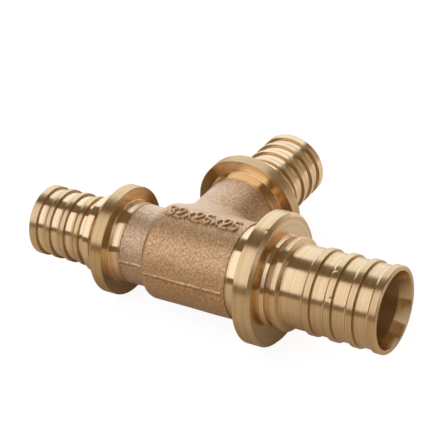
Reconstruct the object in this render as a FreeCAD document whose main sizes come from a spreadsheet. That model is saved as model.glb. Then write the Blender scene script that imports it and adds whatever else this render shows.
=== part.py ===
import FreeCAD, Part
import math
import os
import re
import Sketcher

# A reducing tee for cross-linked polyethylene pipe: one bronze casting with three turned, ribbed ends.
# The run lies along X with its larger end at +X, the branch along +Y, and the origin is where
# their centre lines cross. All sizes are in millimetres, and a place along an end counts
# outwards from that crossing.

SIZES = {
    # Waterways, bored from the three mouths
    "large_bore_rad": 10.4,
    "small_bore_rad": 8.3,
    "large_bore_past": 9.0,
    "bore_step_long": 2.2,
    "large_mouth_rad": 11.5,
    "large_mouth_deep": 3.9,
    # Wall of the ribbed ends, from the bore to the root of the ribs, and the ribs' own section
    "insert_wall": 1.85,
    "rib_high": 0.65,
    "rib_crest": 1.9,
    "rib_ramp": 0.9,
    "tip_break": 0.5,
    # Ribbed end of the larger mouth, whose ribs have their steep side outwards
    "large_end_at": 65.1,
    "large_first_rib": 44.3,
    "large_rib_pitch": 6.8,
    "large_rib_count": 3,
    "large_tip_long": 3.2,
    # Ribbed ends of the two smaller mouths, from their collar, with the steep side towards it
    "small_insert_long": 25.6,
    "small_first_rib": 7.85,
    "small_rib_pitch": 5.1,
    "small_rib_count": 3,
    "small_tip_long": 2.7,
    # Stepped seat at the foot of each ribbed end, where the pipe stops
    "seat_hub_long": 1.1,
    "seat_groove_long": 1.9,
    "seat_ring_long": 1.9,
    "small_ring_long": 2.4,
    "seat_ring_slope": 0.8,
    "seat_high": 1.25,
    "seat_groove_deep": 1.0,
    "seat_ring_above": 0.5,
    # Collars that the press tool grips
    "large_collar_rad": 20.0,
    "large_collar_at": 23.8,
    "large_collar_wide": 5.5,
    "small_collar_rad": 16.7,
    "run_collar_at": 22.6,
    "branch_collar_at": 30.2,
    "small_collar_wide": 4.8,
    "collar_break": 1.0,
    # Turned shoulders between the collars and the raw casting
    "large_shoulder_rad": 14.3,
    "small_shoulder_rad": 12.6,
    "small_shoulder_long": 3.6,
    # Raw casting
    "barrel_rad": 14.6,
    "barrel_small_side": 10.9,
    "barrel_large_side": 18.1,
    "neck_rad": 12.15,
    "saddle_round": 1.6,
    # Seam where the two halves of the mould met
    "seam_proud": 0.25,
    "seam_wide": 0.45,
    "seam_stop": 1.2,
}

document = FreeCAD.newDocument("pex_reducing_tee")
sheet = document.addObject("Spreadsheet::Sheet", "sizes")
for row, (alias, number) in enumerate(SIZES.items(), start=1):
    sheet.set("A%d" % row, alias)
    sheet.set("B%d" % row, str(number))
    sheet.setAlias("B%d" % row, alias)
document.recompute()

# For each end, the directions along and across its centre line in the XY plane
ENDS = {
    "large": (FreeCAD.Vector(1, 0, 0), FreeCAD.Vector(0, 1, 0)),
    "run": (FreeCAD.Vector(-1, 0, 0), FreeCAD.Vector(0, 1, 0)),
    "branch": (FreeCAD.Vector(0, 1, 0), FreeCAD.Vector(1, 0, 0)),
}


def bound(rule):
    """The rule as an expression on the sheet's cells."""
    return re.sub(r"[a-z_]+", lambda word: "sizes." + word.group(0), rule)


def worth(rule):
    """The present value of a rule, which adds and takes away sizes. None is the centre line itself."""
    total = 0.0
    sign = 1
    for word in (rule or "").split():
        if word in ("+", "-"):
            sign = 1 if word == "+" else -1
        else:
            total += sign * SIZES[word]
    return total


def place(end, along, out=None):
    """The point of the XY plane at the values of two rules, along and across an end's centre line."""
    forth, across = ENDS[end]
    return forth * worth(along) + across * worth(out)


def origin_part(body, role):
    """The axis or plane of the body's own origin that has the given role."""
    return next(item for item in body.Origin.OriginFeatures if item.Role == role)


def tie(sketch, side, point, direction, rule, value):
    """Ties one point of a side to the origin, across or up the sketch, at the value of a rule."""
    if rule is None:
        axis = -2 if direction == "X" else -1
        sketch.addConstraint(Sketcher.Constraint("PointOnObject", side, point, axis))
        return
    pair = (-1, 1, side, point) if value >= 0 else (side, point, -1, 1)
    number = sketch.addConstraint(Sketcher.Constraint("Distance" + direction, *pair, abs(value)))
    expression = bound(rule) if worth(rule) >= 0 else "-(%s)" % bound(rule)
    sketch.setExpression("Constraints[%d]" % number, expression)


def curved_side(end, start, stop):
    """An arc between two points, in line with the end's centre line at the first of them.

    It comes with its points at start and stop, because an arc always runs anticlockwise.
    """
    forth, across = ENDS[end]
    step = stop - start
    radius = step.dot(step) / (2 * step.dot(across))
    circle = Part.Circle(start + across * radius, FreeCAD.Vector(0, 0, 1), abs(radius))
    first = circle.parameter(start)
    last = circle.parameter(stop)
    turned = (last - first) % (2 * math.pi)
    if turned < math.pi:
        return Part.ArcOfCircle(circle, first, first + turned), 1, 2
    return Part.ArcOfCircle(circle, last, last + 2 * math.pi - turned), 2, 1


def draw_section(body, name, end, corners, curved=()):
    """A closed section on the plane of the centre lines, from corners given as rules (along, out).

    The side that leaves a corner listed in curved is an arc.
    """
    sketch = body.newObject("Sketcher::SketchObject", name)
    sketch.AttachmentSupport = (origin_part(body, "XY_Plane"), "")
    sketch.MapMode = "FlatFace"
    spots = [place(end, along, out) for along, out in corners]
    marks = []
    for side, spot in enumerate(spots):
        following = spots[(side + 1) % len(spots)]
        if side in curved:
            line, start, stop = curved_side(end, spot, following)
        else:
            line, start, stop = Part.LineSegment(spot, following), 1, 2
        sketch.addGeometry(line, False)
        marks.append((start, stop))
    for side, (along, out) in enumerate(corners):
        start, stop = marks[side]
        after = (side + 1) % len(corners)
        sketch.addConstraint(Sketcher.Constraint("Coincident", side, stop, after, marks[after][0]))
        across_rule, up_rule = (out, along) if end == "branch" else (along, out)
        tie(sketch, side, start, "X", across_rule, spots[side].x)
        tie(sketch, side, start, "Y", up_rule, spots[side].y)
        if side in curved and end == "branch":
            tie(sketch, side, 3, "Y", up_rule, spots[side].y)
        elif side in curved:
            tie(sketch, side, 3, "X", across_rule, spots[side].x)
    return sketch


def turn(body, name, sketch, end, feature="Revolution"):
    """Turns a half section about its end's centre line, as a solid or as a cut."""
    turned = body.newObject("PartDesign::" + feature, name)
    turned.Profile = sketch
    turned.ReferenceAxis = (sketch, ["V_Axis" if end == "branch" else "H_Axis"])
    turned.Angle = 360
    document.recompute()
    return turned


def repeat(body, name, original, end, pitch, count):
    """Copies a form outwards along an end's centre line."""
    pattern = body.newObject("PartDesign::LinearPattern", name)
    pattern.Originals = [original]
    pattern.Direction = (origin_part(body, "Y_Axis" if end == "branch" else "X_Axis"), [""])
    pattern.Reversed = end == "run"
    pattern.setExpression("Length", "sizes.%s * (sizes.%s - 1)" % (pitch, count))
    pattern.setExpression("Occurrences", "sizes." + count)
    body.Tip = pattern
    document.recompute()
    return pattern


def on_saddle(edge):
    """True for the curve where the branch's neck leaves the barrel, from its two ends and its middle."""
    near = 0.01
    first, last = edge.ParameterRange
    for parameter in (first, (first + last) / 2, last):
        point = edge.valueAt(parameter)
        off_barrel = abs(math.hypot(point.y, point.z) - worth("barrel_rad"))
        off_neck = abs(math.hypot(point.x, point.z) - worth("neck_rad"))
        if off_barrel > near or off_neck > near or point.y < 0:
            return False
    return True


def round_saddle(body):
    """The cast rounding between the barrel and the branch's neck."""
    base = body.Tip
    edges = ["Edge%d" % (n + 1) for n, edge in enumerate(base.Shape.Edges) if on_saddle(edge)]
    if not edges:
        raise ValueError("the branch's neck doesn't cross the barrel")
    fillet = body.newObject("PartDesign::Fillet", "saddle_fillet")
    fillet.Base = (base, edges)
    fillet.setExpression("Radius", bound("saddle_round"))
    document.recompute()


def cast_forms(body):
    """The raw casting: a short barrel, the neck of the smaller run end and the neck of the branch."""
    run_section = draw_section(body, "run_casting_section", "run", [
        ("- barrel_large_side", None),
        ("- barrel_large_side", "barrel_rad"),
        ("barrel_small_side - barrel_rad + neck_rad", "barrel_rad"),
        ("barrel_small_side", "neck_rad"),
        ("run_collar_at", "neck_rad"),
        ("run_collar_at", None),
    ], curved=[2])
    turn(body, "barrel", run_section, "run")
    branch_section = draw_section(body, "branch_casting_section", "branch", [
        (None, None),
        (None, "neck_rad"),
        ("branch_collar_at", "neck_rad"),
        ("branch_collar_at", None),
    ])
    turn(body, "branch_neck", branch_section, "branch")
    round_saddle(body)


def mould_seam(body):
    """The thin line of flash in the plane of the centre lines, on both sides of the run and of the branch."""
    run_seam = draw_section(body, "run_seam_outline", "run", [
        ("- barrel_large_side + seam_stop", None),
        ("- barrel_large_side + seam_stop", "barrel_rad + seam_proud"),
        ("barrel_small_side - barrel_rad + neck_rad", "barrel_rad + seam_proud"),
        ("barrel_small_side + seam_proud", "neck_rad"),
        ("barrel_small_side + seam_proud", "neck_rad + seam_proud"),
        ("run_collar_at - small_shoulder_long", "neck_rad + seam_proud"),
        ("run_collar_at - small_shoulder_long", None),
    ], curved=[2])
    branch_seam = draw_section(body, "branch_seam_outline", "branch", [
        (None, None),
        (None, "neck_rad + seam_proud"),
        ("branch_collar_at - small_shoulder_long", "neck_rad + seam_proud"),
        ("branch_collar_at - small_shoulder_long", None),
    ])
    for name, outline, mirror in (("run_seam", run_seam, "XZ_Plane"), ("branch_seam", branch_seam, "YZ_Plane")):
        fin = body.newObject("PartDesign::Pad", name)
        fin.Profile = outline
        fin.SideType = "Symmetric"
        fin.setExpression("Length", bound("seam_wide"))
        document.recompute()
        other = body.newObject("PartDesign::Mirrored", name + "_other_side")
        other.Originals = [fin]
        other.MirrorPlane = (origin_part(body, mirror), [""])
        body.Tip = other
        document.recompute()


def end_rules(end):
    """The rules for the places and radii of one turned end."""
    if end == "large":
        return {
            "start": "barrel_large_side",
            "shoulder": "large_shoulder_rad",
            "collar_at": "large_collar_at",
            "collar": "large_collar_rad",
            "face": "large_collar_at + large_collar_wide",
            "ring": "seat_ring_long",
            "bore": "large_bore_rad",
            "mouth": "large_end_at",
        }
    collar_at = end + "_collar_at"
    return {
        "start": collar_at + " - small_shoulder_long",
        "shoulder": "small_shoulder_rad",
        "collar_at": collar_at,
        "collar": "small_collar_rad",
        "face": collar_at + " + small_collar_wide",
        "ring": "small_ring_long",
        "bore": "small_bore_rad",
        "mouth": collar_at + " + small_collar_wide + small_insert_long",
    }


def turned_end(body, end):
    """One turned end: shoulder, collar, pipe seat and ribbed insert, still solid inside."""
    rules = end_rules(end)
    face, mouth, bore = rules["face"], rules["mouth"], rules["bore"]
    root = bore + " + insert_wall"
    crest = root + " + rib_high"
    seat = root + " + seat_high"
    hub = face + " + seat_hub_long"
    groove = hub + " + seat_groove_long"
    ring = groove + " + " + rules["ring"]
    corners = [
        (rules["start"], None),
        (rules["start"], rules["shoulder"]),
        (rules["collar_at"], rules["shoulder"]),
        (rules["collar_at"], rules["collar"]),
        (face + " - collar_break", rules["collar"]),
        (face, rules["collar"] + " - collar_break"),
        (face, seat),
        (hub, seat),
        (hub, seat + " - seat_groove_deep"),
        (groove, seat + " - seat_groove_deep"),
        (groove, seat + " + seat_ring_above"),
        (ring, seat + " + seat_ring_above"),
        (ring + " + seat_ring_slope", root),
    ]
    if end == "large":
        tip = mouth + " - large_tip_long"
        corners += [(tip, root), (tip + " + rib_ramp", crest)]
    else:
        tip = mouth + " - small_tip_long"
        corners += [(tip, root), (tip, crest)]
    corners += [(mouth + " - tip_break", crest), (mouth, crest + " - tip_break"), (mouth, None)]
    turn(body, end + "_end", draw_section(body, end + "_end_section", end, corners), end)

    if end == "large":
        steep = "large_first_rib"
        slope_top = steep + " - rib_crest"
        slope_foot = slope_top + " - rib_ramp"
    else:
        steep = face + " + small_first_rib"
        slope_top = steep + " + rib_crest"
        slope_foot = slope_top + " + rib_ramp"
    rib_section = draw_section(body, end + "_rib_section", end, [
        (slope_foot, bore),
        (slope_foot, root),
        (slope_top, crest),
        (steep, crest),
        (steep, bore),
    ])
    rib = turn(body, end + "_rib", rib_section, end)
    size = "large" if end == "large" else "small"
    repeat(body, end + "_ribs", rib, end, size + "_rib_pitch", size + "_rib_count")


def waterways(body):
    """The three bores. The wide one runs in from the larger mouth, past the branch, and steps down."""
    step_at = "- large_bore_past - bore_step_long"
    large_mouth = end_rules("large")["mouth"]
    wide = draw_section(body, "large_bore_section", "large", [
        (step_at, None),
        (step_at, "small_bore_rad"),
        ("- large_bore_past", "large_bore_rad"),
        (large_mouth + " - large_mouth_deep", "large_bore_rad"),
        (large_mouth, "large_mouth_rad"),
        (large_mouth, None),
    ])
    turn(body, "large_bore", wide, "large", "Groove")
    for end in ("run", "branch"):
        mouth = end_rules(end)["mouth"]
        narrow = draw_section(body, end + "_bore_section", end, [
            (None, None),
            (None, "small_bore_rad"),
            (mouth, "small_bore_rad"),
            (mouth, None),
        ])
        turn(body, end + "_bore", narrow, end, "Groove")


def checked(item):
    """The item itself, if neither it nor its shape has failed."""
    if "Invalid" in item.State or "Error" in item.State:
        raise RuntimeError("%s failed: %s" % (item.Name, item.State))
    return item


tee = document.addObject("PartDesign::Body", "tee_body")
tee.Label = "tee_body"
cast_forms(tee)
mould_seam(tee)
for end_name in ENDS:
    turned_end(tee, end_name)
waterways(tee)
document.recompute()

for item in document.Objects:
    checked(item)
for body in [item for item in document.Objects if item.isDerivedFrom("PartDesign::Body")]:
    if body.Shape.isNull() or not body.Shape.isValid() or len(body.Shape.Solids) != 1:
        raise RuntimeError("no sound solid in " + body.Label)
os.makedirs("parts", exist_ok=True)
for body in [item for item in document.Objects if item.isDerivedFrom("PartDesign::Body")]:
    body.Shape.exportStep("parts/%s.step" % body.Label)
    box = body.Shape.BoundBox
    print(body.Label, "volume", round(body.Shape.Volume, 1), "mm3, box", box)
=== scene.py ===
"""A reducing tee for plastic pipe, cast in bronze and turned at its three ends, as its photograph shows it.

Lengths are written in millimetres and become metres where a mesh, a light or a node takes them. Each end is
drawn along +X, from the crossing of the centre lines outwards, and is then turned to where it belongs.
"""

import math
from contextlib import contextmanager
from types import SimpleNamespace

import bmesh
import bpy
import numpy as np
from mathutils import Matrix, Vector, noise


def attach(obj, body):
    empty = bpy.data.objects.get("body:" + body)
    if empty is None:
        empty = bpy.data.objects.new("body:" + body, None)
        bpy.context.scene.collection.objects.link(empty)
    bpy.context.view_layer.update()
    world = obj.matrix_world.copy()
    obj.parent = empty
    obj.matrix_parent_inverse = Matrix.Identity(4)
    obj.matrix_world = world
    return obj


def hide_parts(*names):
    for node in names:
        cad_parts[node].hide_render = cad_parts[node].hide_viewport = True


MM = 0.001


# Sizes, in millimetres: bores, collars, shoulders, the barrel and the necks by their radius

LARGE_BORE = 10.4
SMALL_BORE = 8.3
LARGE_BORE_PAST = 9.0  # how far the large bore runs past the branch's centre line
BORE_STEP = 2.2  # length of the cone between the two bores of the run
WALL = 1.85  # of an insert, between its ribs
RIBS = 3  # on each insert, before the one at its tip
RIB_HIGH = 0.65
RIB_LEAD = 0.6  # plain wall that the outline of a rib starts with
LARGE_CREST = 1.9
LARGE_RAMP = 0.9
SMALL_CREST = 1.4
SMALL_RAMP = 1.1
COLLAR_CHAMFER = 1.0
SEAT_HIGH = 1.25  # above the insert's wall
GROOVE_FROM = 1.1  # from the collar's face
GROOVE_DEEP = 1.0
RING_FROM = 3.0  # from the collar's face
RING_ABOVE = 0.5  # above the seat
RING_SLOPE = 0.6
BARREL = 14.6
BARREL_FROM = -10.9
BARREL_EDGE = 2.1  # rounding of the barrel's small end
NECK = 12.15
NECK_FILLET = 0.4
SADDLE_FILLET = 3.4  # between the barrel and the branch's neck
CASTING_ENDS = {"large": 18.1, "run": 19.0, "branch": 26.6}
PAST_ENDS = {"large": 21, "run": 22, "branch": 29}  # where rough forms and cutters end, in the air
PLUG = 2.0  # how far a turned end reaches into its pocket in the casting, out of sight
PLUG_WALL = 2.3  # a little more than the pocket's, so that no gap opens
POCKET_WALL = 1.9
FACING = {"large": 0.0, "run": 180.0, "branch": 90.0}  # turn about Z, in degrees
SIDES = 240  # around a turned end


def small_end(collar_at, foot_polish_or_shade, crest_polish):
    """A smaller end. The two are cut alike, and use has marked their crests differently; the run's steep rib
    sides have painted shade.
    """
    wide = 4.8
    face = collar_at + wide
    return SimpleNamespace(
        bore=SMALL_BORE, shoulder=12.6, taper=0.18, collar_at=collar_at, collar=16.7, collar_wide=wide,
        ring_long=2.4, steep=face + 7.85, pitch=5.1, tip_long=2.7, mouth=face + 25.6, lip=SMALL_BORE + 0.5,
        cone_deep=0.6, rim_polish=0.42, ring_polish=1.0, foot_polish_or_shade=foot_polish_or_shade, crest_polish=crest_polish)


# Each end's own sizes. Its collar, the steep side of its first rib and its mouth are places along it.
ENDS = {
    "large": SimpleNamespace(
        bore=LARGE_BORE, shoulder=14.3, taper=0.0, collar_at=23.8, collar=20.0, collar_wide=5.5,
        ring_long=1.9, steep=44.3, pitch=6.8, tip_long=3.2, mouth=65.1, lip=11.5, cone_deep=3.9,
        rim_polish=0.6, ring_polish=0.75),
    # The run's foot polish below 0 paints shade on the steep sides of its ribs.
    "run": small_end(22.6, foot_polish_or_shade=-0.15, crest_polish=0.6),
    "branch": small_end(30.2, foot_polish_or_shade=0.3, crest_polish=0.85),
}


# Outlines of the turned forms

ROUNDING_SHARE = 0.42  # a rounding takes no more than this of the line on either side
BESIDE_ROUNDING = 0.06  # length of the short stretches
RAMP_STEPS = 8


def chain(corners, spacing=0.7, steps=5):
    """Points along a line through corners (along, radius, rounding, polish), with its corners rounded.

    A corner's polish is that of the line after it: 1 is bright, 0 is dull and less than 0 is painted
    shade. A short stretch on each side of a rounding keeps the light on the flats beside it even.
    """
    points = [corners[0][:2]]
    shine = [corners[0][3]]

    def go_to(spot, polish):
        start = np.array(points[-1])
        gap = np.linalg.norm(spot - start)
        if gap < 1e-6:
            return
        count = max(1, int(math.ceil(gap / spacing)))
        for n in range(1, count + 1):
            points.append(tuple(start + (spot - start) * n / count))
            shine.append(polish)

    for before, corner, after in zip(corners, corners[1:], corners[2:]):
        here = np.array(corner[:2])
        back = np.array(before[:2]) - here
        on = np.array(after[:2]) - here
        back_long, on_long = np.linalg.norm(back), np.linalg.norm(on)
        back, on = back / back_long, on / on_long
        half = math.acos(max(-1.0, min(1.0, float(back @ on)))) / 2
        straight = abs(half - math.pi / 2) < 0.02
        if corner[2] <= 0 or straight:
            go_to(here, before[3])
            continue
        cut = min(corner[2] / math.tan(half), ROUNDING_SHARE * back_long, ROUNDING_SHARE * on_long)
        radius = cut * math.tan(half)
        beside = min(BESIDE_ROUNDING, 0.05 * min(back_long, on_long))
        go_to(here + back * (cut + beside), before[3])
        centre = here + (back + on) / np.linalg.norm(back + on) * (radius / math.sin(half))
        first = here + back * cut - centre
        last = here + on * cut - centre
        sweep = math.atan2(first[0] * last[1] - first[1] * last[0], float(first @ last))
        for n in range(steps + 1):
            angle = sweep * n / steps
            on_arc = np.array([first[0] * math.cos(angle) - first[1] * math.sin(angle),
                               first[0] * math.sin(angle) + first[1] * math.cos(angle)])
            points.append(tuple(centre + on_arc))
            shine.append(before[3] + (corner[3] - before[3]) * n / steps)
        points.append(tuple(here + on * (cut + beside)))
        shine.append(corner[3])
    go_to(np.array(corners[-1][:2]), corners[-2][3])
    return np.array(points), np.array(shine)


def ramp(foot, top, low, high, polish):
    """Corners of a hollow slope, level at its foot."""
    reach, rise = top - foot, high - low
    radius = (reach * reach + rise * rise) / (2 * abs(rise))
    found = []
    for n in range(1, RAMP_STEPS + 1):
        along = foot + reach * n / RAMP_STEPS
        lift = radius - math.sqrt(radius * radius - (along - foot) ** 2)
        found.append((along, low + math.copysign(lift, rise), 0.0, polish))
    return found


def shoulder_and_seat(start, end):
    """Corners from the plug in the casting to the wall that the ribs stand on."""
    root = end.bore + WALL
    seat = root + SEAT_HIGH
    back, rim, face = end.collar_at, end.collar, end.collar_at + end.collar_wide
    groove, ring = seat - GROOVE_DEEP, seat + RING_ABOVE
    ring_at = face + RING_FROM
    ring_to = ring_at + end.ring_long
    return [
        (start - PLUG, end.bore, 0.0, 0.5),
        (start - PLUG, end.bore + PLUG_WALL, 0.0, 0.5),
        (start, end.bore + PLUG_WALL, 0.0, 0.5),
        (start, end.shoulder - end.taper, 0.1, 0.6),
        (start + 0.5, end.shoulder - end.taper, 0.0, 1.0),
        (back, end.shoulder + end.taper, 0.3, 1.0),
        (back, rim - 0.6, 0.0, 0.9),
        (back, rim, 0.4, end.rim_polish),
        (face - COLLAR_CHAMFER, rim, 0.12, end.rim_polish),
        (face, rim - COLLAR_CHAMFER, 0.12, end.rim_polish),
        (face, rim - COLLAR_CHAMFER - 0.4, 0.0, 1.0),
        (face, seat + 0.3, 0.15, 1.0),
        (face + GROOVE_FROM, seat - 0.05, 0.12, 0.8),
        (face + GROOVE_FROM, groove, 0.12, 0.8),
        (ring_at, groove, 0.12, 0.8),
        (ring_at, ring, 0.25, end.ring_polish),
        (ring_to, ring, 0.25, end.ring_polish),
        (ring_to + RING_SLOPE, root, 0.3, end.ring_polish),
    ]


def large_ribs(end, root, crest):
    """Corners of one rib and of the tip. A rib rises on a hollow ramp and drops steeply towards the mouth."""
    ramp_to = end.steep - LARGE_CREST
    foot = ramp_to - LARGE_RAMP
    first = foot - RIB_LEAD
    rib = [(first, root, 0.0, 0.65), (foot, root, 0.0, 0.9)]
    rib += ramp(foot, ramp_to, root, crest, 1.0)[:-1]
    # The foot of each rib's steep side is painted with shade: its polish is below 0.
    rib += [(ramp_to, crest, 0.12, 0.55), (end.steep, crest, 0.12, 0.6), (end.steep, root, 0.05, -0.6),
            (end.steep + 0.12, root, 0.0, 0.65), (first + end.pitch, root, 0.0, 0.65)]
    tip_foot = end.mouth - end.tip_long
    tip = [(first + RIBS * end.pitch, root, 0.0, 0.65), (tip_foot, root, 0.0, 0.9)]
    tip += ramp(tip_foot, tip_foot + LARGE_RAMP, root, crest, 1.0)[:-1]
    tip += [(tip_foot + LARGE_RAMP, crest, 0.12, 0.45), (end.mouth, crest, 0.5, 0.6),
            (end.mouth, end.lip, 0.2, 0.8), (end.mouth - end.cone_deep, end.bore, 0.3, 0.5)]
    return rib, tip


def small_ribs(end, root, crest):
    """Corners of one rib and of the tip. A rib rises steeply and falls on a hollow ramp towards the mouth."""
    first = end.steep - RIB_LEAD
    top = end.steep + SMALL_CREST
    ramp_to = top + SMALL_RAMP
    # The steep sides of the ribs and of the tip take the end's foot polish, which paints shade on them where
    # it is below 0.
    rib = [(first, root, 0.0, 1.0), (end.steep - 0.2, root, 0.0, 1.0),
           (end.steep, root, 0.08, end.foot_polish_or_shade), (end.steep, crest, 0.12, end.crest_polish),
           (top, crest, 0.12, end.crest_polish)]
    rib += reversed(ramp(ramp_to, top, root, crest, 0.6)[:-1])
    rib += [(ramp_to, root, 0.0, 1.0), (first + end.pitch, root, 0.0, 1.0)]
    tip_at = end.mouth - end.tip_long
    tip = [(first + RIBS * end.pitch, root, 0.0, 1.0), (tip_at - 0.2, root, 0.0, 1.0),
           (tip_at, root, 0.08, end.foot_polish_or_shade), (tip_at, crest, 0.12, end.crest_polish),
           (end.mouth, crest, 0.4, 0.5), (end.mouth, end.lip, 0.15, 0.8),
           (end.mouth - end.cone_deep, end.bore, 0.15, 0.5)]
    return rib, tip


def outline_of(name):
    """The outline of one turned end in three lengths: before the ribs, one rib, and after them."""
    end, start = ENDS[name], CASTING_ENDS[name]
    root = end.bore + WALL
    cut_ribs = large_ribs if name == "large" else small_ribs
    rib, tip = cut_ribs(end, root, root + RIB_HIGH)
    before = shoulder_and_seat(start, end) + [(rib[0][0], root, 0.0, 1.0)]
    tip.append((start - PLUG, end.bore, 0.0, 0.5))
    return [chain(before), chain(rib), chain(tip)]


# Geometry nodes


def add(tree, kind, inputs=(), **settings):
    """Adds a node with its settings, and gives each named input a value or the socket it reads from."""
    made = tree.nodes.new(kind)
    for name, value in settings.items():
        setattr(made, name, value)
    for key, value in dict(inputs).items():
        if isinstance(value, bpy.types.NodeSocket):
            tree.links.new(value, made.inputs[key])
        else:
            made.inputs[key].default_value = value
    return made


def worked(tree, operation, *values, **settings):
    """The result of one sum on values and sockets."""
    return add(tree, "ShaderNodeMath", dict(enumerate(values)), operation=operation, **settings).outputs[0]


def turned_form_tree():
    """Turns an outline about the X axis and repeats its middle length, as a lathe cuts an insert's ribs."""
    tree = bpy.data.node_groups.new("turned form", "GeometryNodeTree")
    for name, kind in (("Outline", "NodeSocketGeometry"), ("Rib Count", "NodeSocketInt"),
                       ("Rib Pitch", "NodeSocketFloat"), ("Sides", "NodeSocketInt"),
                       ("Finish", "NodeSocketMaterial")):
        tree.interface.new_socket(name, in_out="INPUT", socket_type=kind)
    tree.interface.new_socket("Form", in_out="OUTPUT", socket_type="NodeSocketGeometry")
    given = add(tree, "NodeGroupInput").outputs
    index = add(tree, "GeometryNodeInputIndex").outputs["Index"]

    def read_points(name, kind):
        found = add(tree, "GeometryNodeInputNamedAttribute", {"Name": name}, data_type=kind)
        return found.outputs["Attribute"]

    def store_points(geometry, name, value):
        inputs = {"Geometry": geometry, "Name": name, "Value": value}
        made = add(tree, "GeometryNodeStoreNamedAttribute", inputs, data_type="FLOAT", domain="POINT")
        return made.outputs["Geometry"]

    length = read_points("length", "INT")

    def one_length(number):
        is_it = {"A": length, "B": number}
        chosen = add(tree, "FunctionNodeCompare", is_it, data_type="INT", operation="EQUAL").outputs["Result"]
        inputs = {"Geometry": given["Outline"], "Selection": chosen}
        return add(tree, "GeometryNodeSeparateGeometry", inputs, domain="POINT").outputs["Selection"]

    step = add(tree, "ShaderNodeCombineXYZ", {"X": given["Rib Pitch"]}).outputs["Vector"]
    places = add(tree, "GeometryNodeMeshLine", {"Count": given["Rib Count"], "Offset": step}, mode="OFFSET")
    ribs = add(tree, "GeometryNodeInstanceOnPoints", {"Points": places.outputs["Mesh"],
               "Instance": one_length(1)})
    ribs = add(tree, "GeometryNodeRealizeInstances", {"Geometry": ribs.outputs["Instances"]})
    joined = add(tree, "GeometryNodeJoinGeometry")
    # The first numbers of the three lengths are so far apart that sorting keeps the lengths in order.
    starts = {0.0: one_length(0), 10000.0: ribs.outputs["Geometry"], 20000.0: one_length(2)}
    for start, geometry in starts.items():
        numbered = store_points(geometry, "place", worked(tree, "ADD", index, start))
        tree.links.new(numbered, joined.inputs["Geometry"])
    whole = add(tree, "GeometryNodeSortElements", {"Geometry": joined.outputs["Geometry"],
                "Sort Weight": read_points("place", "FLOAT")}, domain="POINT").outputs["Geometry"]
    total = add(tree, "GeometryNodeAttributeDomainSize", {"Geometry": whole}).outputs["Point Count"]

    columns = worked(tree, "ADD", given["Sides"], 1.0)
    rows = worked(tree, "ADD", total, 1.0)
    sheet = add(tree, "GeometryNodeMeshGrid", {"Size X": 1.0, "Size Y": 1.0, "Vertices X": columns,
                "Vertices Y": rows}).outputs["Mesh"]
    spot = add(tree, "GeometryNodeInputPosition").outputs["Position"]
    flat = add(tree, "ShaderNodeSeparateXYZ", {"Vector": spot}).outputs

    def counted(across, number):
        return worked(tree, "ROUND", worked(tree, "MULTIPLY", worked(tree, "ADD", across, 0.5), number))

    side = counted(flat["X"], given["Sides"])
    along = worked(tree, "MODULO", counted(flat["Y"], total), total)

    def taken(kind, value):
        return add(tree, "GeometryNodeSampleIndex", {"Geometry": whole, "Value": value, "Index": along},
                   data_type=kind, domain="POINT").outputs["Value"]

    on_outline = add(tree, "ShaderNodeSeparateXYZ", {"Vector": taken("FLOAT_VECTOR", spot)}).outputs
    marked = store_points(sheet, "polish", taken("FLOAT", read_points("polish", "FLOAT")))
    turn = worked(tree, "MULTIPLY", worked(tree, "DIVIDE", side, given["Sides"]), 2 * math.pi)
    across = worked(tree, "MULTIPLY", worked(tree, "SINE", turn), on_outline["Y"])
    up = worked(tree, "MULTIPLY", worked(tree, "COSINE", turn), on_outline["Y"])
    on_form = add(tree, "ShaderNodeCombineXYZ", {"X": on_outline["X"], "Y": across, "Z": up})
    formed = add(tree, "GeometryNodeSetPosition", {"Geometry": marked, "Position": on_form.outputs["Vector"]})
    closed = add(tree, "GeometryNodeMergeByDistance", {"Geometry": formed.outputs["Geometry"],
                 "Distance": 0.002 * MM})
    smooth = add(tree, "GeometryNodeSetShadeSmooth", {"Geometry": closed.outputs["Geometry"]})
    done = add(tree, "GeometryNodeSetMaterial", {"Geometry": smooth.outputs["Geometry"],
               "Material": given["Finish"]})
    add(tree, "NodeGroupOutput", {"Form": done.outputs["Geometry"]})
    return tree


# Meshes


def linked(name, data):
    """A new object in the scene."""
    made = bpy.data.objects.new(name, data)
    bpy.context.scene.collection.objects.link(made)
    return made


def result_of(item):
    """The plain mesh that an object's modifiers make, in place of the object."""
    graph = bpy.context.evaluated_depsgraph_get()
    made = bpy.data.meshes.new_from_object(item.evaluated_get(graph))
    bpy.data.objects.remove(item)
    return made


@contextmanager
def editing(mesh):
    """Opens a mesh to edit its edges and faces, and writes it back."""
    shell = bmesh.new()
    shell.from_mesh(mesh)
    yield shell
    shell.to_mesh(mesh)
    shell.free()


def outwards(mesh):
    """Turns every face of a closed mesh outwards."""
    with editing(mesh) as shell:
        bmesh.ops.recalc_face_normals(shell, faces=shell.faces)


def corners_of(mesh):
    """The mesh's vertices as an array."""
    found = np.empty(len(mesh.vertices) * 3, np.float32)
    mesh.vertices.foreach_get("co", found)
    return found.reshape(-1, 3).astype(float)


def move_corners(mesh, places):
    """Moves a mesh's vertices to the places in an array."""
    mesh.vertices.foreach_set("co", places.astype(np.float32).ravel())
    mesh.update()


def store(mesh, name, kind, values):
    """Stores a value for each vertex of a mesh, under a name that a finish reads."""
    number = np.int32 if kind == "INT" else np.float32
    field = "vector" if kind == "FLOAT_VECTOR" else "value"
    mesh.attributes.new(name, kind, "POINT").data.foreach_set(field, values.astype(number).ravel())


def piece(name, mesh):
    """A finished piece of the tee, at the origin, riding on the frame."""
    mesh.name = name
    made = linked(name, mesh)
    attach(made, "root")
    return made


# Turned ends

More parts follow.
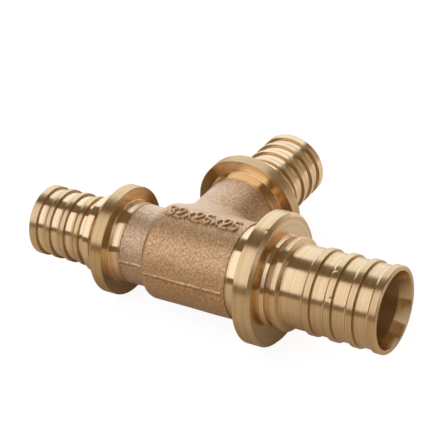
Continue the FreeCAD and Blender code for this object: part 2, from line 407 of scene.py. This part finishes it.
# Small dents and burrs on an end: place along it, turn about it in degrees, radius, size and lift
DENTS = {
    "large": [(50.9, 59, 12.9, 0.50, -0.30), (50.3, 62, 12.9, 0.35, 0.14), (49.1, 21, 12.9, 0.55, -0.28),
              (49.4, 25, 12.9, 0.35, 0.12), (28.5, 14, 19.8, 0.45, -0.2), (28.4, 17, 19.9, 0.3, 0.1)],
    "run": [],
    "branch": [],
}
DRILL_STEP = 0.9
DRILL_MARKS = 72  # around the bore
RING_SLANT = 1.3  # how much more the tool's rings count outwards than along, so that faces have rings too


def nicked(places, dents):
    """The places of a turned mesh's vertices, pushed in at the dents and out at the burrs beside them."""
    out = places * (0, 1, 1)
    out /= np.maximum(np.linalg.norm(out, axis=1), 1e-9)[:, None]
    moved = places.copy()
    for along, angle, radius, size, lift in dents:
        angle = math.radians(angle)
        spot = np.array([along, -radius * math.sin(angle), radius * math.cos(angle)]) * MM
        near = np.exp(-((places - spot) ** 2).sum(1) / (size * MM) ** 2)
        moved += out * (lift * MM * near)[:, None]
    return moved


def drill(mesh, bore, metal):
    """Gives the faces inside a turned end's bore the drilled finish, and the others the turned one."""
    middles = np.empty(len(mesh.polygons) * 3, np.float32)
    mesh.polygons.foreach_get("center", middles)
    middles = middles.reshape(-1, 3) / MM
    mesh.materials.clear()
    mesh.materials.append(metal)
    mesh.materials.append(BORED)
    drilled = np.hypot(middles[:, 1], middles[:, 2]) < bore + 0.03
    mesh.polygons.foreach_set("material_index", drilled.astype(np.int32))


def turned(lengths, facing, metal, ribs=0, pitch=1.0, sides=SIDES, bore=0.0, dents=()):
    """A closed mesh turned from an outline of three lengths, with its ribs repeated, facing its own way.

    It stores what its finish reads: places along the rings and the drill's marks, and how the grooves run.
    """
    points = np.vstack([length[0] for length in lengths]) * MM
    number = np.concatenate([np.full(len(length[0]), n) for n, length in enumerate(lengths)])
    outline = bpy.data.meshes.new("outline")
    outline.from_pydata([(along, out, 0) for along, out in points], [], [])
    store(outline, "length", "INT", number)
    store(outline, "polish", "FLOAT", np.concatenate([length[1] for length in lengths]))
    holder = linked("outline", outline)
    form = holder.modifiers.new("form", "NODES")
    form.node_group = FORM
    inputs = {item.name: item.identifier for item in FORM.interface.items_tree if item.in_out == "INPUT"}
    for name, value in {"Rib Count": ribs, "Rib Pitch": pitch * MM, "Sides": sides, "Finish": metal}.items():
        form[inputs[name]] = value
    made = result_of(holder)
    bpy.data.meshes.remove(outline)

    local = corners_of(made)
    out = np.maximum(np.hypot(local[:, 1], local[:, 2]), 1e-9)
    store(made, "reach_mm", "FLOAT", (local[:, 0] + RING_SLANT * out) / MM)
    turns = np.arctan2(local[:, 1], local[:, 2]) / (2 * math.pi)
    store(made, "spiral", "FLOAT", local[:, 0] / (DRILL_STEP * MM) + turns * DRILL_MARKS)
    if bore:
        drill(made, bore, metal)
    if dents:
        move_corners(made, nicked(local, dents))
    to_place = Matrix.Rotation(math.radians(facing), 4, "Z")
    made.transform(to_place)
    groove = np.stack([np.zeros(len(local)), local[:, 2] / out, -local[:, 1] / out], 1)
    store(made, "groove", "FLOAT_VECTOR", groove @ np.array(to_place.to_3x3()).T)
    outwards(made)
    return made


# Raw casting

FAR = 9.0  # farther from the skin than any detail reaches


def blend(one, other, reach):
    """The union of two distances, with a rounding of the given reach where they meet."""
    share = np.maximum(reach - np.abs(one - other), 0.0) / reach
    return np.minimum(one, other) - share * share * reach / 4


def casting_distance(points):
    """How far points are outside the casting's skin, in millimetres, before its sand texture."""
    x, y, z = points.T
    from_run = np.hypot(y, z)
    from_end = np.maximum(BARREL_FROM + BARREL_EDGE - x, 0)
    barrel = np.hypot(from_end, np.maximum(from_run - BARREL + BARREL_EDGE, 0)) - BARREL_EDGE
    # Each neck counts on its own side of the crossing only.
    run_neck = np.where(x < 6, from_run - NECK, FAR)
    branch_neck = np.where(y > -2, np.hypot(x, z) - NECK, FAR)
    return blend(blend(barrel, run_neck, NECK_FILLET), branch_neck, SADDLE_FILLET)


def skin_slopes(points):
    """How fast the distance from the casting's skin grows, along each axis."""
    step = 0.01
    slope = np.empty_like(points)
    for axis in range(3):
        shift = np.zeros(3)
        shift[axis] = step
        slope[:, axis] = casting_distance(points + shift) - casting_distance(points - shift)
    return slope / (2 * step)


def arc(centre, wide, high, start, stop, count=14):
    """Points of an arc, with angles in degrees."""
    angles = np.radians(np.linspace(start, stop, count))
    return [(centre[0] + wide * math.cos(a), centre[1] + high * math.sin(a)) for a in angles]


# Strokes of the size figures, in a cell as wide as 0.62 of its height
FIGURES = {
    "2": [arc((0.30, 0.72), 0.27, 0.27, 165, -35) + [(0.03, 0.02), (0.60, 0.02)]],
    "3": [arc((0.29, 0.75), 0.25, 0.24, 155, -85), arc((0.29, 0.27), 0.29, 0.26, 85, -155)],
    "5": [[(0.56, 0.98), (0.12, 0.98), (0.08, 0.55)], arc((0.28, 0.31), 0.29, 0.30, 135, -150)],
    "x": [[(0.06, 0.10), (0.54, 0.72)], [(0.06, 0.72), (0.54, 0.10)]],
}
FIGURE_ROW = "32x25x25"
FIGURE_HIGH = 4.7
FIGURE_NARROW = 0.80
FIGURE_STEP = 3.06
FIGURE_START = -7.9
FIGURE_STROKE = 0.66
FIGURE_FLANK = 0.2  # width of the slope at a stroke's edge
FIGURE_FLANK_OUT = 0.09  # how much of it lies outside the edge
FIGURE_PROUD = 0.6


def eased(share):
    """A share from 0 to 1 that starts and stops gently."""
    return share * share * (3 - 2 * share)


def figure_distance(points):
    """How far points are from the strokes of the size figures along the top of the barrel, in millimetres."""
    x, y, z = points.T
    up = np.arctan2(y, z) * BARREL + FIGURE_HIGH / 2
    # Only the top of the barrel is near the figures.
    near = (z > 10) & (np.abs(up - FIGURE_HIGH / 2) < 4) & (x > FIGURE_START - 2) & (x < 18)
    where = np.stack([x[near], up[near]], 1)
    closest = np.full(len(where), FAR)
    start = FIGURE_START
    for figure in FIGURE_ROW:
        for stroke in FIGURES[figure]:
            path = np.array(stroke) * FIGURE_HIGH * (FIGURE_NARROW, 1.0) + (start, 0)
            for begin, finish in zip(path, path[1:]):
                side = finish - begin
                share = np.clip(((where - begin) @ side) / (side @ side), 0, 1)
                gap = np.linalg.norm(where - begin - share[:, None] * side, axis=1)
                closest = np.minimum(closest, gap)
        start += FIGURE_STEP
    distance = np.full(len(points), FAR)
    distance[near] = closest
    return distance


def figure_relief(points):
    """How much the raised size figures lift the skin of the barrel. They name the three pipe sizes."""
    inside = FIGURE_STROKE / 2 + FIGURE_FLANK_OUT - figure_distance(points)
    rise = np.clip(inside / FIGURE_FLANK, 0, 1)
    return FIGURE_PROUD * eased(rise)


def wander(points, size, seed):
    """Smooth noise at each point, with bumps about one size apart."""
    shift = Vector((seed * 13.7, seed * 5.1, seed * 9.3))
    return np.array([noise.noise(Vector(point) / size + shift) for point in points])


SEAM_PROUD = 0.36
SEAM_HALF_WIDE = 0.527
SEAM_ABOVE = 0.85  # on the run's near side, where the mould halves were a little out of line
SEAM_NEAR = 2.2  # its drift stays inside this
SEAM_ENDS = 17.2, 25.8  # along the run and along the branch


def near_seam(points):
    """Which points are beside the seam, and short of the turned ends."""
    return (np.abs(points[:, 2]) < SEAM_NEAR) & (points[:, 0] < SEAM_ENDS[0]) & (points[:, 1] < SEAM_ENDS[1])


def above_seam(where):
    """The flat places of points on the mould's seam, and how far above its uneven line they are."""
    line = where * (1, 1, 0)
    drift = 0.24 * wander(line, 5.0, 1) + 0.16 * wander(line, 1.6, 2)
    drift += np.where(where[:, 1] < 0, SEAM_ABOVE, 0)
    return line, where[:, 2] - drift


def seam_relief(points):
    """The thin, uneven line of flash where the mould's halves met, in the plane of the centre lines."""
    near = near_seam(points)
    line, above = above_seam(points[near])
    height = 0.8 + 0.7 * wander(line, 2.0, 3)
    lift = np.zeros(len(points))
    lift[near] = SEAM_PROUD * height * eased(np.clip(1 - np.abs(above) / SEAM_HALF_WIDE, 0, 1))
    return lift


def painted_shade_by_relief(points):
    """How dark the skin is painted, from 0 to 1, as shade at the foot of the figures and a shadow under the
    seam.
    """
    # It is darkest 0.10 mm outside the figures' strokes and 0.62 mm below the seam.
    beside = (figure_distance(points) - FIGURE_STROKE / 2 - 0.10) / 0.11
    dark = 0.4 * np.exp(-beside * beside)
    near = near_seam(points)
    above = above_seam(points[near])[1]
    dark[near] = 0.5 * np.exp(-((above + 0.62) / 0.25) ** 2)
    return dark


def sand_relief(points):
    """Grain and shallow waves that the sand mould left."""
    grain = 0.016 * wander(points, 0.75, 4) + 0.014 * wander(points, 0.42, 5)
    return grain + 0.09 * wander(points, 5.5, 6) + 0.03 * wander(points, 2.2, 7)


def solid_of(points, name):
    """A rough closed solid of revolution, to be remeshed or to cut with, from its outline."""
    corners = [(along, out, 0.0, 0.5) for along, out in points]
    nothing = np.zeros((0, 2)), np.zeros(0)
    return turned([chain(corners, spacing=3.0), nothing, nothing], FACING[name], BORED, sides=144)


def rough_casting():
    """The barrel and the two necks joined in one closed mesh of even faces, about the size of the casting."""
    past = PAST_ENDS
    outlines = {
        "large": [(BARREL_FROM, 0), (BARREL_FROM, BARREL - 1.2), (BARREL_FROM + 1, BARREL),
                  (past["large"], BARREL), (past["large"], 0)],
        "run": [(0, 0), (0, NECK), (past["run"], NECK), (past["run"], 0)],
        "branch": [(0, 0), (0, NECK), (past["branch"], NECK), (past["branch"], 0)],
    }
    mesh = bpy.data.meshes.new("cast_body_rough")
    with editing(mesh) as shell:
        for name, points in outlines.items():
            rough = solid_of(points, name)
            shell.from_mesh(rough)
            bpy.data.meshes.remove(rough)
    holder = linked("cast_body_rough", mesh)
    remesh = holder.modifiers.new("even skin", "REMESH")
    remesh.mode = "VOXEL"
    remesh.voxel_size = 0.3 * MM
    return result_of(holder)


def refine(mesh):
    """Splits the edges where the size figures and the seam rise, so that these come out crisp."""
    with editing(mesh) as shell:
        on_figures, on_seam = [], []
        for edge in shell.edges:
            x, y, z = (edge.verts[0].co + edge.verts[1].co) / 2 / MM
            # The figures are on top of the barrel.
            if z > 12 and -9 < x < 17.6 and abs(math.atan2(y, z)) * BARREL < 3.1:
                on_figures.append(edge)
            elif abs(z - (SEAM_ABOVE if y < 0 else 0)) < 0.8:
                on_seam.append(edge)
        bmesh.ops.subdivide_edges(shell, edges=on_seam, cuts=1, use_grid_fill=True)
        bmesh.ops.subdivide_edges(shell, edges=on_figures, cuts=2, use_grid_fill=True)


def mould(mesh):
    """Moves a rough mesh onto the casting's skin, and lifts the grain, the seam and the figures on it."""
    points = corners_of(mesh) / MM
    for _ in range(4):
        slope = skin_slopes(points)
        points -= slope * (casting_distance(points) / np.maximum((slope ** 2).sum(1), 0.2))[:, None]
    slope = skin_slopes(points)
    slope /= np.maximum(np.linalg.norm(slope, axis=1), 1e-9)[:, None]
    lift = sand_relief(points) + seam_relief(points) + figure_relief(points)
    move_corners(mesh, (points + slope * lift[:, None]) * MM)


def cut_to_length(mesh):
    """Cuts the casting off flat at its three ends."""
    with editing(mesh) as shell:
        for end, place in CASTING_ENDS.items():
            out = Vector((1, 0, 0))
            out.rotate(Matrix.Rotation(math.radians(FACING[end]), 3, "Z"))
            whole = shell.verts[:] + shell.edges[:] + shell.faces[:]
            at = out * place * MM
            bmesh.ops.bisect_plane(shell, geom=whole, plane_co=at, plane_no=out, clear_outer=True)
            bmesh.ops.holes_fill(shell, edges=[edge for edge in shell.edges if edge.is_boundary], sides=0)
        bmesh.ops.triangulate(shell, faces=[face for face in shell.faces if len(face.verts) > 4])
        bmesh.ops.recalc_face_normals(shell, faces=shell.faces)


def bored(mesh):
    """The casting with its waterways and with the pockets that the turned ends sit in."""
    step_at = -LARGE_BORE_PAST - BORE_STEP
    starts = {
        "large": [(step_at, 0), (step_at, SMALL_BORE), (-LARGE_BORE_PAST, LARGE_BORE)],
        "run": [(2, 0), (2, SMALL_BORE)],
        "branch": [(2, 0), (2, SMALL_BORE)],
    }
    body = linked("cast_body_solid", mesh)
    cutters = []
    for name, points in starts.items():
        bore, pocket_at, past = ENDS[name].bore, CASTING_ENDS[name] - PLUG, PAST_ENDS[name]
        points += [(pocket_at, bore), (pocket_at, bore + POCKET_WALL), (past, bore + POCKET_WALL), (past, 0)]
        cutters.append(linked("cutter_" + name, solid_of(points, name)))
        cut = body.modifiers.new("bore " + name, "BOOLEAN")
        cut.operation = "DIFFERENCE"
        cut.solver = "EXACT"
        cut.material_mode = "TRANSFER"
        cut.object = cutters[-1]
    made = result_of(body)
    for cutter in cutters:
        bpy.data.objects.remove(cutter)
    return made


def cast_body():
    """The raw casting between the three turned ends, with its waterways bored."""
    skin = rough_casting()
    refine(skin)
    mould(skin)
    cut_to_length(skin)
    skin.materials.clear()
    skin.materials.append(CAST)
    made = bored(skin)

    points = corners_of(made) / MM
    # Painted shade beside the size figures and a painted shadow under the seam, stored for the finish
    store(made, "hollow", "FLOAT", painted_shade_by_relief(points))
    # The grooves are worked out again for the whole casting, and no drill marks show this deep in the bores.
    for name in ("groove", "spiral"):
        made.attributes.remove(made.attributes[name])
    in_run = (np.hypot(points[:, 1], points[:, 2]) < LARGE_BORE + 0.1)[:, None]
    about_x, about_y = points[:, [0, 2, 1]] * (0, 1, -1), points[:, [2, 1, 0]] * (1, 0, -1)
    store(made, "groove", "FLOAT_VECTOR", np.where(in_run, about_x, about_y))
    made.polygons.foreach_set("use_smooth", [True] * len(made.polygons))
    made.set_sharp_from_angle(angle=math.radians(50))
    return made


# Finishes


def tone(code):
    """A colour written as sRGB hex, as the linear values that a node takes."""
    found = []
    for start in (1, 3, 5):
        share = int(code[start:start + 2], 16) / 255
        found.append(share / 12.92 if share <= 0.04045 else ((share + 0.055) / 1.055) ** 2.4)
    return (*found, 1.0)


def empty_finish(name):
    """A new material with an empty node tree, and that tree."""
    made = bpy.data.materials.new(name)
    made.use_nodes = True
    made.node_tree.nodes.clear()
    return made, made.node_tree


def place_on_tee(tree):
    """Object coordinates, which are in metres."""
    return add(tree, "ShaderNodeTexCoord").outputs["Object"]


def stored_on_tee(tree, name, output="Fac"):
    """What the mesh stores under a name."""
    return add(tree, "ShaderNodeAttribute", attribute_name=name).outputs[output]


def bumps(tree, spot, spacing, detail=3.0, roughness=0.5):
    """Noise on Object coordinates, with bumps about that many millimetres apart."""
    inputs = {"Vector": spot, "Scale": 1 / (spacing * MM), "Detail": detail, "Roughness": roughness}
    return add(tree, "ShaderNodeTexNoise", inputs).outputs["Fac"]


def rings(tree, spacing):
    """Noise along a turned form, with rings about that many millimetres apart."""
    inputs = {"W": stored_on_tee(tree, "reach_mm"), "Scale": 1 / spacing, "Detail": 3.0, "Roughness": 0.7}
    return add(tree, "ShaderNodeTexNoise", inputs, noise_dimensions="1D").outputs["Fac"]


def stretched(tree, value, start, stop, low=0.0, high=1.0, **settings):
    """A value between start and stop, stretched to go from low to high and no further."""
    inputs = {"Value": value, "From Min": start, "From Max": stop, "To Min": low, "To Max": high}
    return add(tree, "ShaderNodeMapRange", inputs, **settings).outputs["Result"]


def mixed(tree, share, one, other, **settings):
    """A colour with a share of another one in it."""
    inputs = {"Factor": share, "A": one, "B": other}
    return add(tree, "ShaderNodeMix", inputs, data_type="RGBA", **settings).outputs["Result"]


def on_vector(tree, operation, one, other=(0, 0, 0)):
    """The outputs of one sum on a vector."""
    return add(tree, "ShaderNodeVectorMath", {0: one, 1: other}, operation=operation).outputs


def across_grooves(tree):
    """The direction across the tool's grooves. The shine of the metal spreads that way."""
    facing = add(tree, "ShaderNodeNewGeometry").outputs["Normal"]
    return on_vector(tree, "CROSS_PRODUCT", stored_on_tee(tree, "groove", "Vector"), facing)["Vector"]


def coat(tree, inputs):
    """Ends a finish with a plain metal of the given colour and roughness."""
    skin = add(tree, "ShaderNodeBsdfPrincipled", {"Metallic": 1.0, **inputs})
    add(tree, "ShaderNodeOutputMaterial", {"Surface": skin.outputs["BSDF"]})


def turned_bronze():
    """Gunmetal turned on a lathe: bright and warm, with the tool's fine rings, duller where it is handled.

    The rings are nearer 0.15 mm apart on the real part. They are drawn coarser here, so that they show.
    """
    made, tree = empty_finish("turned bronze")
    spot = place_on_tee(tree)
    polish = stored_on_tee(tree, "polish")
    colour = mixed(tree, polish, tone("#E0BA80"), tone("#F6DCB4"))
    ringed = stretched(tree, rings(tree, 1.2), 0.35, 0.65)
    speckled = stretched(tree, bumps(tree, spot, 0.5, detail=2.0), 0.5, 0.75)
    less_when_bright = stretched(tree, polish, 0.0, 1.0, 1.0, 0.35)
    # Rings and specks of a deeper gold
    golden = worked(tree, "MULTIPLY", worked(tree, "MAXIMUM", ringed, speckled), less_when_bright)
    colour = mixed(tree, golden, colour, tone("#DAB47B"))
    # Painted shade on the steep sides of the ribs, where the polish is below 0
    painted_shade_share = worked(tree, "MULTIPLY", polish, -1.0, use_clamp=True)
    colour = mixed(tree, painted_shade_share, colour, tone("#7A5A2A"))
    smear = stretched(tree, bumps(tree, spot, 9), 0.3, 0.7, -0.03, 0.05)
    rough = worked(tree, "ADD", stretched(tree, polish, 0.0, 1.0, 0.50, 0.15), smear)
    bump = add(tree, "ShaderNodeBump", {"Height": rings(tree, 0.34), "Strength": 0.5, "Distance": 0.012 * MM})
    coat(tree, {"Base Color": colour, "Roughness": rough, "Anisotropic": 0.92,
                "Normal": bump.outputs["Normal"], "Tangent": across_grooves(tree)})
    return made


def bored_bronze():
    """The drilled waterways: the same metal, darker in the hole, with the slanted marks of the drill."""
    made, tree = empty_finish("bored bronze")
    turn = worked(tree, "MULTIPLY", stored_on_tee(tree, "spiral"), 2 * math.pi)
    smear = bumps(tree, place_on_tee(tree), 2.5)
    mark = worked(tree, "SINE", worked(tree, "MULTIPLY_ADD", smear, 4.0, turn))
    colour = mixed(tree, stretched(tree, mark, -1.0, 1.0), tone("#C4965E"), tone("#F0CE9B"))
    coat(tree, {"Base Color": colour, "Roughness": 0.55, "Anisotropic": 0.9, "Tangent": across_grooves(tree)})
    return made


def cast_bronze():
    """Gunmetal as it leaves a sand mould and a tumbling drum: dull and tan, with a fine grain that glints.

    The drum rubs the necks less than the barrel, so they are a little greyer.
    """
    made, tree = empty_finish("sand-cast bronze")
    spot = place_on_tee(tree)
    grain = bumps(tree, spot, 0.6, detail=4.0, roughness=0.7)
    light = mixed(tree, bumps(tree, spot, 6.0), tone("#ECC394"), tone("#F5D2A7"))
    colour = mixed(tree, stretched(tree, grain, 0.38, 0.62), tone("#C0976A"), light)
    # Painted shade at the foot of the figures and a painted shadow under the seam darken the colour here
    colour = mixed(tree, stored_on_tee(tree, "hollow"), colour, tone("#6A482A"))
    along = add(tree, "ShaderNodeSeparateXYZ", {"Vector": spot}).outputs
    run_neck = stretched(tree, along["X"], -9 * MM, -12 * MM)
    branch_neck = stretched(tree, along["Y"], 15 * MM, 20 * MM, 0.0, 0.6)
    neck = worked(tree, "MAXIMUM", run_neck, branch_neck)
    colour = mixed(tree, neck, colour, tone("#274550"), blend_type="ADD")
    # A painted sheen: the skin's colour turns paler where it is seen at a flat angle.
    grazing = add(tree, "ShaderNodeLayerWeight", {"Blend": 0.5}).outputs["Facing"]
    colour = mixed(tree, stretched(tree, grazing, 0.4, 0.9, 0.0, 0.6), colour, tone("#FFE8CA"))
    rough = stretched(tree, grain, 0.35, 0.65, 0.58, 0.47)
    bump = add(tree, "ShaderNodeBump", {"Height": grain, "Strength": 0.35, "Distance": 0.05 * MM})
    coat(tree, {"Base Color": colour, "Roughness": rough, "Normal": bump.outputs["Normal"]})
    return made


# Studio

METAL_SEES = 0.06  # share of the white background that the metal mirrors, so that its dark bands stay dark
TABLE_REACH = 1600
# The tee lies on the rims of its three collars, so the tabletop isn't quite parallel to the centre lines.
TABLE_SLOPE = -0.0638, 0.0493  # how much it rises with x and with y
TABLE_LEVEL = -18.45  # below the crossing of the centre lines
SOFTBOX_AWAY = 700
CAMERA_TURN = 32.807, 31.473, -4.430  # degrees: from -Y towards +X, above level, and about its own axis
CAMERA_AIM = 3.217, 9.779, 8.28
CAMERA_SHIFT = 0.176, 0.146  # to the picture's right and up
CAMERA_AWAY = 534.42
FOCAL_LENGTH = 1804.7  # in pixels of the photograph, which is PICTURE_WIDE pixels wide
PICTURE_WIDE = 441
SENSOR_WIDE = 36


def background_share(tree, in_metal=METAL_SEES):
    """How much of the white background a ray sees: all by camera and through glass, a share in metal."""
    ray = add(tree, "ShaderNodeLightPath").outputs
    clear = worked(tree, "MAXIMUM", ray["Is Camera Ray"], ray["Is Transmission Ray"])
    return worked(tree, "MULTIPLY_ADD", ray["Is Glossy Ray"], in_metal, clear)


def floor_finish():
    """A pale tabletop. The camera sees it nearly white, with a trace of the tee's shadow.

    The metal sees a painted pool of light behind the tee, and painted shade close to the tee.
    """
    made, tree = empty_finish("pale tabletop")
    spot = place_on_tee(tree)
    # A painted pool of light: the metal sees more of the white towards the back.
    back = on_vector(tree, "DOT_PRODUCT", spot, (-0.3, 1.0, 0.0))["Value"]
    bright = stretched(tree, back, -10 * MM, 115 * MM, 0.22, 0.72, interpolation_type="SMOOTHSTEP")
    # Painted shade close to the tee, in the tabletop's colour and in the white that the metal sees.
    squeezed = on_vector(tree, "MULTIPLY", spot, (0.55, 1.0, 0.0))["Vector"]
    off = on_vector(tree, "DISTANCE", squeezed, (0.0, 10 * MM, 0.0))["Value"]
    shade = stretched(tree, off, 18 * MM, 45 * MM, 0.1, 1.0)
    shadow = mixed(tree, shade, tone("#AE9C80"), tone("#E0CDAE"))
    plain = add(tree, "ShaderNodeBsdfDiffuse", {"Color": shadow})
    # The camera sees a glow, with a little real light on it that keeps the shadow.
    seen = add(tree, "ShaderNodeBsdfDiffuse", {"Color": (0.3, 0.3, 0.3, 1)})
    far = stretched(tree, on_vector(tree, "LENGTH", spot)["Value"], 200 * MM, 500 * MM, 0.90, 1.0)
    glow = add(tree, "ShaderNodeEmission", {"Color": (1, 1, 1, 1), "Strength": far})
    white = add(tree, "ShaderNodeAddShader", {0: seen.outputs["BSDF"], 1: glow.outputs["Emission"]})
    share = background_share(tree, worked(tree, "MULTIPLY", bright, shade))
    top = add(tree, "ShaderNodeMixShader", {0: share, 1: plain.outputs["BSDF"], 2: white.outputs["Shader"]})
    add(tree, "ShaderNodeOutputMaterial", {"Surface": top.outputs["Shader"]})
    return made


def studio_world():
    """A dim, warm room that the camera sees as plain white. Its colour shifts slightly with height."""
    world = bpy.data.worlds.new("studio")
    world.use_nodes = True
    tree = world.node_tree
    tree.nodes.clear()
    towards = add(tree, "ShaderNodeTexCoord").outputs["Generated"]
    height = add(tree, "ShaderNodeSeparateXYZ", {"Vector": towards}).outputs["Z"]
    walls = mixed(tree, stretched(tree, height, 0.12, 0.38), tone("#624C31"), tone("#644F30"))
    room = add(tree, "ShaderNodeBackground", {"Color": walls}).outputs["Background"]
    white = add(tree, "ShaderNodeBackground", {"Color": (1, 1, 1, 1)}).outputs["Background"]
    seen = add(tree, "ShaderNodeMixShader", {0: background_share(tree), 1: room, 2: white})
    add(tree, "ShaderNodeOutputWorld", {"Surface": seen.outputs["Shader"]})
    bpy.context.scene.world = world


def tabletop():
    """The plane that the tee lies on."""
    corners = [(x * MM, y * MM, (TABLE_SLOPE[0] * x + TABLE_SLOPE[1] * y + TABLE_LEVEL) * MM)
               for x, y in ((-TABLE_REACH, -TABLE_REACH), (TABLE_REACH, -TABLE_REACH),
                            (TABLE_REACH, TABLE_REACH), (-TABLE_REACH, TABLE_REACH))]
    mesh = bpy.data.meshes.new("tabletop")
    mesh.from_pydata(corners, [], [(0, 1, 2, 3)])
    mesh.materials.append(floor_finish())
    top = linked("tabletop", mesh)


def softbox(name, bearing, elevation, shift, size, colour, radiance):
    """A rectangular soft light that faces the tee, shifted sideways along its own width.

    It stands at a bearing, in degrees from +Y and turning left, and at an elevation.
    """
    lamp = bpy.data.lights.new(name, "AREA")
    lamp.shape = "RECTANGLE"
    lamp.size, lamp.size_y = (side * MM for side in size)
    lamp.color = tone(colour)[:3]
    lamp.energy = radiance * math.pi * lamp.size * lamp.size_y
    turn = Matrix.Rotation(math.radians(bearing), 4, "Z")
    tilt = Matrix.Rotation(math.radians(elevation - 90), 4, "X")
    away = Matrix.Translation((shift * MM, 0, SOFTBOX_AWAY * MM))
    linked(name, lamp).matrix_world = turn @ tilt @ away


def camera():
    """The camera at the photograph's place and angle."""
    azimuth, elevation, roll = (math.radians(angle) for angle in CAMERA_TURN)
    back = Vector((math.sin(azimuth) * math.cos(elevation), -math.cos(azimuth) * math.cos(elevation),
                   math.sin(elevation)))
    level = Vector((math.cos(azimuth), math.sin(azimuth), 0))
    rise = back.cross(level)
    right = level * math.cos(roll) + rise * math.sin(roll)
    up = rise * math.cos(roll) - level * math.sin(roll)
    lens = bpy.data.cameras.new("camera")
    lens.sensor_width = SENSOR_WIDE
    lens.lens = FOCAL_LENGTH / PICTURE_WIDE * SENSOR_WIDE
    lens.clip_start, lens.clip_end = 0.01, 20
    made = linked("camera", lens)
    shift = right * CAMERA_SHIFT[0] + up * CAMERA_SHIFT[1]
    place = (Vector(CAMERA_AIM) + shift + back * CAMERA_AWAY) * MM
    made.matrix_world = Matrix.Translation(place) @ Matrix((right, up, back)).transposed().to_4x4()
    bpy.context.scene.camera = made


def studio():
    """Tabletop, soft lights and the camera at the photograph's angle."""
    studio_world()
    tabletop()
    # Bearing, elevation, shift, width and height, colour and radiance
    softbox("back softbox", 0, 33, -555, (1390, 910), "#D9E9FF", 1.38)
    softbox("front softbox", 163, 41.6, 90, (900, 795), "#E8EEFF", 1.24)
    softbox("side softbox", -34, 12, 0, (480, 420), "#FFF4E4", 0.27)
    softbox("end softbox", -86, 12, 0, (350, 330), "#E4ECFF", 1.4)
    camera()
    bpy.context.scene.view_settings.view_transform = "Standard"


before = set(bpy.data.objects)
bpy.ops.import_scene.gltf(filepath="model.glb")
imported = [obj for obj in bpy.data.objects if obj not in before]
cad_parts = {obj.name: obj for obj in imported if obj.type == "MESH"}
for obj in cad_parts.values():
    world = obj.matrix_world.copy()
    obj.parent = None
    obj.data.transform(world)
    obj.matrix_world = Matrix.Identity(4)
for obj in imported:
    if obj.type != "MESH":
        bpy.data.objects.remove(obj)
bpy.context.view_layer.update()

TURNED = turned_bronze()
BORED = bored_bronze()
CAST = cast_bronze()
FORM = turned_form_tree()

body = piece("cast_body", cast_body())
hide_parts("tee_body")
for name, end in ENDS.items():
    mesh = turned(outline_of(name), FACING[name], TURNED, RIBS, end.pitch, bore=end.bore, dents=DENTS[name])
    piece("turned_end_" + name, mesh)
studio()
